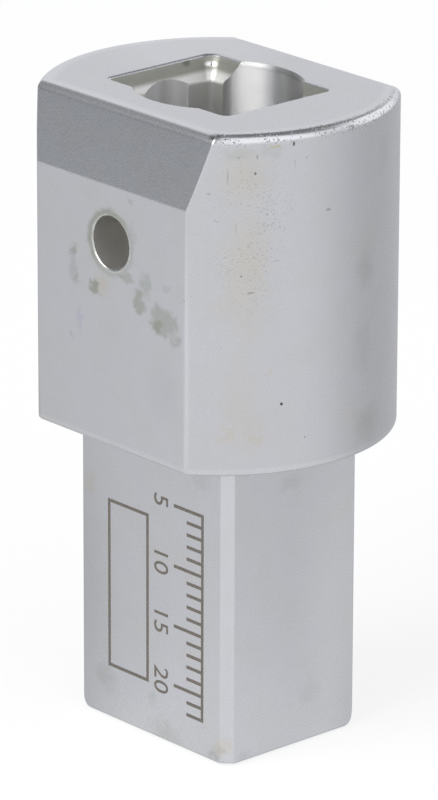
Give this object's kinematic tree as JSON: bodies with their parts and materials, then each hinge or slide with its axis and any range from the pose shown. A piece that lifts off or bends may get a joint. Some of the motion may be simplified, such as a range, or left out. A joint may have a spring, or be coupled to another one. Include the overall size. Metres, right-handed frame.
{
  "type": "torque wrench insert adapter",
  "caption": "Steel adapter with a rectangular spigot and sprung locking pin below, and a flat-sided round head above that holds a smaller rectangular socket with a release hole.",
  "frame": {"origin": "centre of the spigot's end face, which the adapter stands on", "axes": "+Z from the spigot towards the socket, X along the wide way of spigot and socket, +Y the way the locking pin points, so the release hole faces -Y"},
  "size_m": [0.028, 0.022, 0.052],
  "materials": {
    "satin_chrome": "satin chrome plate on tool steel, lightly tumbled",
    "sleeve_steel": "turned, bright",
    "pin_steel": "hardened and polished",
    "spring_steel": "drawn wire, oiled"
  },
  "bodies": {
    "adapter": {"adapter_body": "satin_chrome", "retaining_sleeve": "sleeve_steel", "pin_spring": "spring_steel"},
    "pin": {"locking_pin": "pin_steel"}
  },
  "joints": [
    {"name": "pin_press", "type": "slide", "parent": "adapter", "child": "pin", "axis": [0, -1, 0], "range_m": [0, 0.0025], "stiffness_N_per_m": 1400, "springref_m": -0.002, "deforming": ["pin_spring"]}
  ]
}
